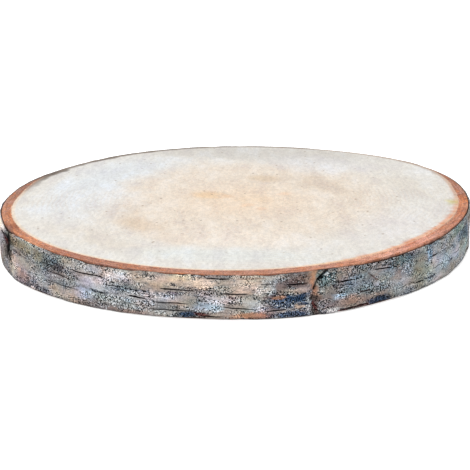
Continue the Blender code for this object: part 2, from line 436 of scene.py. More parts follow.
# What a user would change on the face. A zone is a direction and distance from the trunk's
# middle, its two half sizes along and across that direction, its colour and its strength.
woodFace = {
    "columns": 640,
    "rows": 64,
    "pith": (5, 6),
    "outer": "E6E5E3",
    "inner": "EBE1D6",
    "heart": "F0DDC9",
    "heartReach": 62,
    "edge": "EFDCC6",
    "edgeWidth": 1.3,
    "zones": (
        (143, 24, 12, 9, "EFCFA8", 0.75),        # stained heart
        (125, 12, 5, 5, "F1CBA6", 0.5),
        (-57, 13, 4, 6, "F1CFAE", 0.6),
        (-54, 25, 4, 5, "F0CDB0", 0.5),
        (28, 35, 5, 4, "F1D0B2", 0.5),
        (-136, 80, 13, 22, "DCC8B2", 0.75),      # brown arcs
        (-164, 73, 11, 14, "E0CDB8", 0.55),
        (-114, 92, 11, 20, "DCCAB8", 0.6),
        (72, 58, 9, 14, "DDC8AC", 0.6),
        (10, 10, 14, 10, "F0D8BC", 0.4),
        (38, 68, 16, 36, "DDCFBF", 0.6),
        (-92, 84, 20, 60, "F3EAE1", 0.6),
        (80, 128, 26, 92, "D3D1CE", 0.9),        # greyer far edge
        (20, 122, 18, 40, "E0DAD0", 0.5),
        (-135, 120, 16, 50, "E3DBD1", 0.6),
        (176, 100, 34, 60, "E4EAF2", 0.7),       # bluish sapwood
        (140, 108, 32, 50, "E2E9F1", 0.85),
        (60, 110, 24, 40, "E4E5EA", 0.6),
        (-95, 118, 14, 60, "E3EAEC", 0.6),
        (-30, 112, 22, 40, "E6E3E6", 0.5),
    ),
    "sawDepth": 0.02,
    "streakAt": -32,
    "streakReach": 7,        # mm
    "streakColour": "D98558",
    # the edge, darkened and tinted in places: direction, spread, width in mm, colour, strength
    "edgeStains": (
        (75, 30, 2.2, "9A9189", 0.8), (112, 14, 2.8, "7D746B", 0.9), (132, 11, 4.0, "756B62", 0.95),
        (152, 9, 5.5, "65594F", 1.0), (165, 5, 2.5, "A08579", 0.8), (33, 12, 2.6, "B5A498", 0.7),
        (10, 8, 2.6, "C9A08C", 0.6), (-1.5, 1.6, 9.0, "D0C985", 0.9), (-26, 18, 3.4, "E7A988", 0.8),
        (-50, 12, 2.4, "EEB690", 0.8), (-68, 5, 2.4, "EFC79A", 0.6),
    ),
}


def makeWood():
    values = woodFace
    columns = values["columns"]
    direction = np.arange(columns) * 360 / columns - 180
    paper = trunk["outerBark"] + innerBarkWidth(direction)
    # rows crowd towards the edge, where the stains are
    steps = np.linspace(0, 1, values["rows"] + 1)[1:, None]
    reach = 0.55 * steps + 0.45 * np.sin(steps * pi / 2)
    roundRadius = trunk["radius"] - 7
    rows, ages, isTop = [], [], []
    for height in (top, 0):
        radius = outline(direction, height) - paper
        mixed = reach * blend(roundRadius, radius[None], reach)
        x = middle[0] + values["pith"][0] * (1 - reach) + mixed * np.cos(np.radians(direction))
        y = middle[1] + values["pith"][1] * (1 - reach) + mixed * np.sin(np.radians(direction))
        # the saw leaves the face a few hundredths of a millimetre uneven
        saw = values["sawDepth"] * (0.5 + 0.5 * np.sin(y / 3.1 + np.sin(x / 40)))
        z = np.full_like(x, top) - saw if height else saw
        block = np.stack([x, y, z], -1) * mm
        age = np.broadcast_to(reach * roundRadius, x.shape)
        rows.append(block if height else block[::-1])
        ages.append(age if height else age[::-1])
    side = [
        place(direction, blend(outline(direction, 0), outline(direction, top), share) - paper, share * top)
        for share in (0.99, 0.75, 0.5, 0.25, 0.01)
    ]
    sideRows = np.stack(side)
    body = np.concatenate([rows[0], sideRows, rows[1]])
    age = np.concatenate([ages[0], np.full((len(side), columns), float(roundRadius)), ages[1]])
    centres = np.array([[middle[0] + values["pith"][0], middle[1] + values["pith"][1], z] for z in (top, 0)]) * mm
    points = np.concatenate([centres[:1], body.reshape(-1, 3), centres[1:]])
    rowCount = len(body)
    last = len(points) - 1
    column = np.arange(columns)
    after = (column + 1) % columns
    faces = [[0, 1 + c, 1 + a] for c, a in zip(column, after)]
    for row in range(rowCount - 1):
        start, below = 1 + row * columns, 1 + (row + 1) * columns
        faces += np.stack([start + column, below + column, below + after, start + after], -1).tolist()
    start = 1 + (rowCount - 1) * columns
    faces += [[start + c, last, start + a] for c, a in zip(column, after)]
    # the two faces lie side by side on the map, and the hidden side in a corner
    corners = []
    topRows = values["rows"]
    for index, face in enumerate(faces):
        ends = points[face] / mm
        row = -1 if index < columns else (index - columns) // columns
        if row < topRows - 1:
            corners.append(ends[:, :2] / 160 * 0.335 + (0.345, 0.655))
        elif row < topRows + len(side):
            c = (index - columns) % columns
            v = 0.97 - 0.2 * (row - topRows + 1) / (len(side) + 1)
            w = v - 0.2 / (len(side) + 1)
            left, right = 0.73 + 0.24 * c / columns, 0.73 + 0.24 * (c + 1) / columns
            corners.append(np.array([[left, v], [left, w], [right, w], [right, v]]))
        else:
            corners.append(ends[:, :2] / 160 * 0.23 * (1, -1) + (0.76, 0.24))
    made = makeObject("sawn_wood", points, faces, corners, makeWoodMaterial())
    ages = np.concatenate([[0], age.ravel(), [0]])
    addValues(made, "ringAge", ages)
    x, y = points[:, 0] / mm - middle[0], points[:, 1] / mm - middle[1]
    colour = blend(np.array(linear(values["inner"])), np.array(linear(values["outer"])), softStep(70, 118, ages)[:, None])
    heart = 1 - softStep(10, values["heartReach"], np.hypot(x - 3, y))
    colour = blend(colour, np.array(linear(values["heart"])), heart[:, None] * 0.85)
    ragged = barkNoise(np.degrees(np.arctan2(y, x)), np.hypot(x, y) / 5, 26, 3.0, 401)
    for at, distance, along, across, shade, strength in values["zones"]:
        awayX, awayY = x - distance * cos(radians(at)), y - distance * sin(radians(at))
        outward = awayX * cos(radians(at)) + awayY * sin(radians(at))
        aside = -awayX * sin(radians(at)) + awayY * cos(radians(at))
        inside = 1 - softStep(0.35, 1.35, np.hypot(outward / along, aside / across) + 0.25 * ragged)
        colour = blend(colour, np.array(linear(shade)), (inside * strength)[:, None])
    edge = softStep(roundRadius - 2 * values["edgeWidth"], roundRadius - 0.4 * values["edgeWidth"], ages)
    colour = blend(colour, np.array(linear(values["edge"])), edge[:, None] * 0.9)
    away = np.degrees(np.arctan2(y, x))
    frayed = 0.6 * barkNoise(away, ages / 2, 7.0, 3.0, 402) + 0.4 * barkNoise(away, ages / 2, 2.2, 3.0, 403)
    for at, spread, width, shade, strength in values["edgeStains"]:
        reached = softStep(roundRadius - width, roundRadius - 0.55 * width, ages + width * (0.15 * ragged + 0.3 * frayed))
        colour = blend(colour, np.array(linear(shade)), (bell(turn(away, at), spread) * reached * strength)[:, None])
    streaks = softStep(0.15, 0.6, barkNoise(away, ages, 2.4, 1.6, 404))
    near = softStep(roundRadius - values["streakReach"], roundRadius, ages) * bell(turn(away, values["streakAt"]), 24)
    colour = blend(colour, np.array(linear(values["streakColour"])), (0.8 * streaks * near)[:, None])
    addColours(made, "woodTint", colour)
    return made


# ---- inner bark

# Inner bark (phloem) sawn across: dry, matt, copper coloured, in thin layers round the trunk,
# pale where it meets the wood. Its outer edge is painted dark as shade along the gaps to the
# outer bark, and its side behind the bark is painted near black as shade.
innerFinish = {
    "roughness": 0.78,
    "ior": 1.45,
    "paleLine": "EFD3BB",
    "copper": "CC9070",
    "deep": "A2684F",
    "light": "DDA689",
    "orange": "D98858",
    "pink": "D2A59A",
    "gapShadeLine": "5A3A2E",
    "hidden": "2A1C17",      # the side behind the outer bark, painted near black as the shade it lies in
    "layer": 0.9,            # mm between layers; real ones are finer, drawn coarser so that they show
    "fibre": 0.9,            # mm
}


def makeInnerBarkMaterial():
    material, tree, shader, place3d = newMaterial("Cut inner birch bark")
    finish = innerFinish
    tint = addNode(tree, "ShaderNodeAttribute", {"attribute_name": "ringTint"}, {})
    depth = addNode(tree, "ShaderNodeAttribute", {"attribute_name": "layerDepth"}, {})
    wander = addNode(tree, "ShaderNodeTexNoise", {}, {
        "Vector": place3d, "Scale": 1 / (9 * mm), "Detail": 3, "Roughness": 0.6,
    })
    wandered = addNode(tree, "ShaderNodeMath", {"operation": "MULTIPLY_ADD"}, {
        0: wander.outputs["Fac"], 1: 2.4, 2: depth.outputs["Fac"],
    })
    layers = addNode(tree, "ShaderNodeTexNoise", {"noise_dimensions": "1D"}, {
        "W": wandered.outputs[0], "Scale": 1 / finish["layer"], "Detail": 2, "Roughness": 0.6,
    })
    layerColour = addNode(tree, "ShaderNodeValToRGB", {}, {"Fac": layers.outputs["Fac"]}, [
        (0.3, "B08A78"), (0.7, "FFFFFF"), (0.48, "DDC8BB"),
    ])
    layered = addNode(tree, "ShaderNodeMix", {"data_type": "RGBA", "blend_type": "MULTIPLY"}, {
        0: 0.6, 6: tint.outputs["Color"], 7: layerColour.outputs["Color"],
    })
    fibre = addNode(tree, "ShaderNodeTexNoise", {}, {
        "Vector": place3d, "Scale": 1 / (finish["fibre"] * mm), "Detail": 3, "Roughness": 0.65,
    })
    tone = addNode(tree, "ShaderNodeMapRange", {}, {
        "Value": fibre.outputs["Fac"], "From Min": 0.34, "From Max": 0.66, "To Min": 0.46, "To Max": 1.48,
    })
    toned = addNode(tree, "ShaderNodeMix", {"data_type": "RGBA", "blend_type": "MULTIPLY"}, {
        0: 1.0, 6: layered.outputs[2], 7: tone.outputs["Result"],
    })
    tree.links.new(toned.outputs[2], shader.inputs["Base Color"])
    roughness = addNode(tree, "ShaderNodeMapRange", {}, {
        "Value": fibre.outputs["Fac"], "From Min": 0.3, "From Max": 0.7,
        "To Min": finish["roughness"] - 0.08, "To Max": finish["roughness"] + 0.1,
    })
    tree.links.new(roughness.outputs["Result"], shader.inputs["Roughness"])
    shader.inputs["IOR"].default_value = finish["ior"]
    height = addNode(tree, "ShaderNodeMath", {"operation": "ADD"}, {
        0: layers.outputs["Fac"], 1: fibre.outputs["Fac"],
    })
    bump = addNode(tree, "ShaderNodeBump", {}, {
        "Strength": 0.6, "Distance": 0.15 * mm, "Height": height.outputs[0],
    })
    tree.links.new(bump.outputs["Normal"], shader.inputs["Normal"])
    return material


# Tones round the ring: direction, spread, colour, strength. Gaps where the bark has come away
# from the ring, painted dark as shade: direction, spread, strength.
innerRing = {
    "columns": 1440,
    "acrossPoints": 10,
    "sidePoints": 34,
    "overlap": 0.3,
    "relief": 0.09,
    "tones": (
        (180, 16, "D49F86", 0.9), (-164, 9, "DE925E", 0.9), (-148, 9, "EAA074", 0.9), (-120, 14, "BF8A76", 0.9),
        (-104, 10, "C3937E", 0.8), (-88, 12, "C6957E", 0.8), (-70, 8, "CC9684", 0.9), (-52, 9, "FAC2AC", 0.95),
        (-36, 9, "FBBDA6", 0.95), (-21, 7, "D69880", 0.9), (-9, 6, "F0A070", 0.95), (14, 12, "C98A6C", 0.8),
        (95, 48, "5A4D44", 1.0), (152, 11, "5E5048", 1.0), (167, 5, "9A7A6C", 0.9), (3, 3, "9E5C40", 0.7),
        (-1, 2.4, "F49A5E", 0.9),
        (-10, 2.6, "BC7C62", 0.8), (-18, 2.5, "CB8E7C", 0.7), (-156.5, 1.8, "85503C", 0.8), (-43, 2.5, "E09484", 0.6),
        (-64, 3, "DFA07E", 0.7), (-131, 3, "B9765C", 0.6), (-143, 3, "F0A878", 0.7),
    ),
    "gaps": (
        (-157, 3, 1.0), (-151, 2, 0.6), (-125, 4, 1.0), (-120, 2, 0.8), (-112.8, 1.0, 1.0), (-71, 1.5, 0.8),
        (-57, 2, 0.6), (-50, 5, 0.9), (-36, 5, 1.0), (-24, 4, 0.7), (-12, 4, 0.6),
    ),
}


# How far the bark has come away from the ring in each direction: the share of painted gap shade
def edgeGap(direction):
    random = softStep(0.15, 0.75, barkNoise(direction, 0 * direction, 9, 50, 56))
    return np.clip(0.05 + 0.4 * random + swelling(direction, [
        (at, strength, spread) for at, spread, strength in innerRing["gaps"]
    ]), 0, 1)


print("helpers ready")

# ---- outer bark

# Outer birch bark left on the tree to weather, then dried: matt paper in silver, tan and slate
# plates, with lichen specks, black slits, and rusty wood showing in the cracks.
barkFinish = {
    "roughness": 0.84,
    "ior": 1.45,
    "shine": 0.02,           # dust in its pores leaves hardly any
    "streakLength": 9,       # mm
    "streakHeight": 1.6,     # mm
    "blotch": 12,            # mm
    "hue": 15,               # mm
    "clump": 2.6,            # mm
    "clumpTint": (0.56, 0.65, 0.72),         # what is left of the bark's own colour
    "hairLength": 13,        # mm
    "hairHeight": 1.3,       # mm; real hairlines are finer, drawn coarser so that they show
    "grain": 0.7,            # mm; the paper's own grain is finer, drawn coarser so that it shows
    "speck": 1.5,           # mm between lichen specks, drawn coarser as well
    "speckColour": "D9DCDE",
    "slitColour": "0B0609",
    "slitEdge": 0.56,        # of a slit's half opening, with the ragged edge
}


def makeBarkMaterial():
    material, tree, shader, place3d = newMaterial("Weathered birch bark")
    finish = barkFinish
    tint = addNode(tree, "ShaderNodeAttribute", {"attribute_name": "barkTint"}, {})
    marks = addNode(tree, "ShaderNodeAttribute", {"attribute_name": "barkMarks"}, {})
    split = addNode(tree, "ShaderNodeSeparateColor", {}, {"Color": marks.outputs["Color"]})
    flat = addNode(tree, "ShaderNodeMapping", {}, {
        "Vector": place3d, "Scale": (1, 1, finish["streakLength"] / finish["streakHeight"]),
    })
    streak = addNode(tree, "ShaderNodeTexNoise", {}, {
        "Vector": flat.outputs["Vector"], "Scale": 1 / (finish["streakLength"] * mm), "Detail": 5, "Roughness": 0.62,
    })
    streakTone = addNode(tree, "ShaderNodeMapRange", {}, {
        "Value": streak.outputs["Fac"], "From Min": 0.32, "From Max": 0.68, "To Min": 0.82, "To Max": 1.16,
    })
    streaked = addNode(tree, "ShaderNodeMix", {"data_type": "RGBA", "blend_type": "MULTIPLY"}, {
        0: 1.0, 6: tint.outputs["Color"], 7: streakTone.outputs["Result"],
    })
    # blotches drift between warm brown and cold blue grey
    mild = addNode(tree, "ShaderNodeMapping", {}, {"Vector": place3d, "Scale": (1, 1, 1.7)})
    blotch = addNode(tree, "ShaderNodeTexNoise", {}, {
        "Vector": mild.outputs["Vector"], "Scale": 1 / (finish["blotch"] * mm), "Detail": 1, "Roughness": 0.4,
    })
    blotchColour = addNode(tree, "ShaderNodeValToRGB", {}, {"Fac": blotch.outputs["Fac"]}, [
        (0.34, "F2D0B8"), (0.66, "B6CEE6"), (0.5, "FFFFFF"),
    ])
    blotched = addNode(tree, "ShaderNodeMix", {"data_type": "RGBA", "blend_type": "MULTIPLY"}, {
        0: 0.34, 6: streaked.outputs[2], 7: blotchColour.outputs["Color"],
    })
    # algae and lichen tint it pink, green and blue, a few millimetres at a time
    hue = addNode(tree, "ShaderNodeTexNoise", {}, {
        "Vector": mild.outputs["Vector"], "Scale": 1 / (finish["hue"] * mm), "Detail": 1, "Roughness": 0.4,
    })
    tinted = addNode(tree, "ShaderNodeMix", {"data_type": "RGBA", "blend_type": "OVERLAY"}, {
        0: 0.12, 6: blotched.outputs[2], 7: hue.outputs["Color"],
    })
    # dark clumps lie flat, like the slits
    clumpPlace = addNode(tree, "ShaderNodeMapping", {}, {
        "Vector": place3d, "Location": (3, 5, 7), "Scale": (1, 1, 1.5),
    })
    clump = addNode(tree, "ShaderNodeTexNoise", {}, {
        "Vector": clumpPlace.outputs["Vector"], "Scale": 1 / (finish["clump"] * mm), "Detail": 3, "Roughness": 0.8,
    })
    clumpLevel = addNode(tree, "ShaderNodeMath", {"operation": "MULTIPLY_ADD"}, {
        0: split.outputs["Green"], 1: 0.22, 2: clump.outputs["Fac"],
    })
    clumpTone = addNode(tree, "ShaderNodeMapRange", {"interpolation_type": "SMOOTHSTEP"}, {
        "Value": clumpLevel.outputs[0], "From Min": 0.54, "From Max": 0.78, "To Min": 0.0, "To Max": 1.0,
    })
    clumpColour = addNode(tree, "ShaderNodeMix", {"data_type": "RGBA"}, {
        0: clumpTone.outputs["Result"], 6: (1.1, 1.09, 1.08, 1), 7: (*finish["clumpTint"], 1),
    })
    clumped = addNode(tree, "ShaderNodeMix", {"data_type": "RGBA", "blend_type": "MULTIPLY"}, {
        0: 1.0, 6: tinted.outputs[2], 7: clumpColour.outputs[2],
    })
    # hairlines run round the trunk between the slits
    hairPlace = addNode(tree, "ShaderNodeMapping", {}, {
        "Vector": place3d, "Location": (5, 1, 9), "Scale": (1, 1, finish["hairLength"] / finish["hairHeight"]),
    })
    hair = addNode(tree, "ShaderNodeTexNoise", {}, {
        "Vector": hairPlace.outputs["Vector"], "Scale": 1 / (finish["hairLength"] * mm), "Detail": 1, "Roughness": 0.5,
    })
    hairTone = addNode(tree, "ShaderNodeMapRange", {"interpolation_type": "SMOOTHSTEP"}, {
        "Value": hair.outputs["Fac"], "From Min": 0.6, "From Max": 0.72, "To Min": 1.03, "To Max": 0.5,
    })
    hairShare = addNode(tree, "ShaderNodeMapRange", {}, {
        "Value": split.outputs["Green"], "From Min": 0.1, "From Max": 0.6, "To Min": 0.35, "To Max": 0.9,
    })
    haired = addNode(tree, "ShaderNodeMix", {"data_type": "RGBA", "blend_type": "MULTIPLY"}, {
        0: hairShare.outputs["Result"], 6: clumped.outputs[2], 7: hairTone.outputs["Result"],
    })
    # the rougher the bark, the stronger its grain
    grain = addNode(tree, "ShaderNodeTexNoise", {}, {
        "Vector": place3d, "Scale": 1 / (finish["grain"] * mm), "Detail": 1, "Roughness": 0.5,
    })
    grainSide = addNode(tree, "ShaderNodeMapRange", {}, {
        "Value": grain.outputs["Fac"], "From Min": 0.36, "From Max": 0.64, "To Min": -1.0, "To Max": 1.0,
    })
    grainStrength = addNode(tree, "ShaderNodeMapRange", {}, {
        "Value": split.outputs["Green"], "From Min": 0.2, "From Max": 0.8, "To Min": 0.2, "To Max": 2.0,
    })
    cluster = addNode(tree, "ShaderNodeMapRange", {}, {
        "Value": clump.outputs["Fac"], "From Min": 0.4, "From Max": 0.62, "To Min": 0.75, "To Max": 1.6,
    })
    clustered = addNode(tree, "ShaderNodeMath", {"operation": "MULTIPLY"}, {
        0: grainStrength.outputs["Result"], 1: cluster.outputs["Result"],
    })
    grainTone = addNode(tree, "ShaderNodeMath", {"operation": "MULTIPLY_ADD"}, {
        0: grainSide.outputs["Result"], 1: clustered.outputs[0], 2: 1.0,
    })
    flecked = addNode(tree, "ShaderNodeMix", {"data_type": "RGBA", "blend_type": "MULTIPLY"}, {
        0: 1.0, 6: haired.outputs[2], 7: grainTone.outputs[0],
    })
    # lichen specks
    speckPlace = addNode(tree, "ShaderNodeMapping", {}, {"Vector": place3d, "Location": (11, 2, 4)})
    speck = addNode(tree, "ShaderNodeTexVoronoi", {"feature": "F1"}, {
        "Vector": speckPlace.outputs["Vector"], "Scale": 1 / (finish["speck"] * mm), "Randomness": 1.0,
    })
    speckCloud = addNode(tree, "ShaderNodeMapRange", {}, {
        "Value": clump.outputs["Fac"], "From Min": 0.42, "From Max": 0.62, "To Min": 0.16, "To Max": 0.54,
    })
    speckSize = addNode(tree, "ShaderNodeMath", {"operation": "MULTIPLY"}, {
        0: split.outputs["Red"], 1: speckCloud.outputs["Result"],
    })
    speckEdge = addNode(tree, "ShaderNodeMath", {"operation": "SUBTRACT"}, {
        0: speckSize.outputs[0], 1: speck.outputs["Distance"],
    })
    speckShare = addNode(tree, "ShaderNodeMapRange", {}, {
        "Value": speckEdge.outputs[0], "From Min": -0.05, "From Max": 0.12, "To Min": 0.0, "To Max": 0.8,
    })
    specked = addNode(tree, "ShaderNodeMix", {"data_type": "RGBA"}, {
        0: speckShare.outputs["Result"], 6: flecked.outputs[2], 7: (*linear(finish["speckColour"]), 1),
    })
    # the slits: a ragged black line where the offset from their middle is small
    offset = addNode(tree, "ShaderNodeAttribute", {"attribute_name": "slitOffset"}, {})
    away = addNode(tree, "ShaderNodeMath", {"operation": "ABSOLUTE"}, {0: offset.outputs["Fac"]})
    raggedAway = addNode(tree, "ShaderNodeMath", {"operation": "MULTIPLY_ADD"}, {
        0: grain.outputs["Fac"], 1: 0.2, 2: away.outputs[0],
    })
    slitLine = addNode(tree, "ShaderNodeMapRange", {}, {
        "Value": raggedAway.outputs[0], "From Min": finish["slitEdge"], "From Max": finish["slitEdge"] - 0.1,
        "To Min": 0.0, "To Max": 1.0,
    })
    slitShare = addNode(tree, "ShaderNodeMath", {"operation": "MULTIPLY"}, {
        0: slitLine.outputs["Result"], 1: split.outputs["Blue"],
    })
    slitted = addNode(tree, "ShaderNodeMix", {"data_type": "RGBA"}, {
        0: slitShare.outputs[0], 6: specked.outputs[2], 7: (*linear(finish["slitColour"]), 1),
    })
    tree.links.new(slitted.outputs[2], shader.inputs["Base Color"])
    roughness = addNode(tree, "ShaderNodeMapRange", {}, {
        "Value": streak.outputs["Fac"], "From Min": 0.3, "From Max": 0.7,
        "To Min": finish["roughness"] + 0.1, "To Max": finish["roughness"] - 0.12,
    })
    tree.links.new(roughness.outputs["Result"], shader.inputs["Roughness"])
    shader.inputs["IOR"].default_value = finish["ior"]
    shader.inputs["Specular IOR Level"].default_value = finish["shine"]
    height = addNode(tree, "ShaderNodeMath", {"operation": "ADD"}, {
        0: grain.outputs["Fac"], 1: streak.outputs["Fac"],
    })
    bump = addNode(tree, "ShaderNodeBump", {}, {
        "Strength": 0.7, "Distance": 0.3 * mm, "Height": height.outputs[0],
    })
    tree.links.new(bump.outputs["Normal"], shader.inputs["Normal"])
    return material


# The bark's shades: colour, how far that layer of paper stands above or below the rest, and how
# thickly dark clumps of algae cover it
barkShades = {
    "silver": ("B9B8B6", 0.22, 0.25),
    "blueWhite": ("ABAFC2", 0.2, 0.2),
    "iceBlue": ("A3B6C6", 0.12, 0.35),
    "lavender": ("A3A1A5", 0.15, 0.35),
    "rose": ("A5A3A7", 0.15, 0.25),
    "cream": ("C3B7A8", 0.2, 0.2),
    "straw": ("BEAE9A", 0.15, 0.2),
    "peach": ("B3A296", 0.12, 0.22),
    "tan": ("9A8C81", 0.05, 0.28),
    "ash": ("918F8F", 0.05, 0.35),
    "stone": ("7A7979", 0.0, 0.5),
    "grey": ("6E6D6D", 0.0, 0.52),
    "taupe": ("776D67", 0.0, 0.32),
    "blueGrey": ("6A757D", 0.0, 0.45),
    "moss": ("646E66", 0.02, 0.55),
    "olive": ("6F6857", 0.0, 0.42),
    "teal": ("46555B", -0.12, 0.85),
    "slate": ("515559", -0.15, 0.9),
    "mauve": ("5F5357", -0.1, 0.6),
    "brown": ("7D685F", -0.1, 0.3),
    "umber": ("4E423F", -0.2, 0.45),
    "mist": ("8F999C", 0.05, 0.32),
    "garnet": ("3C100C", -0.3, 0.4),
    "paper": ("D6D2CC", 0.3, 0.15),
    "steel": ("5C7684", -0.1, 0.6),
    "rust": ("99705A", -0.2, 0.22),
    "denim": ("313F52", -0.2, 0.8),
    "navy": ("1D2B3E", -0.25, 0.7),
    "darkRed": ("47211F", -0.3, 0.6),
    "charcoal": ("35343A", -0.25, 0.8),
    "black": ("050405", -0.35, 0.4),
}

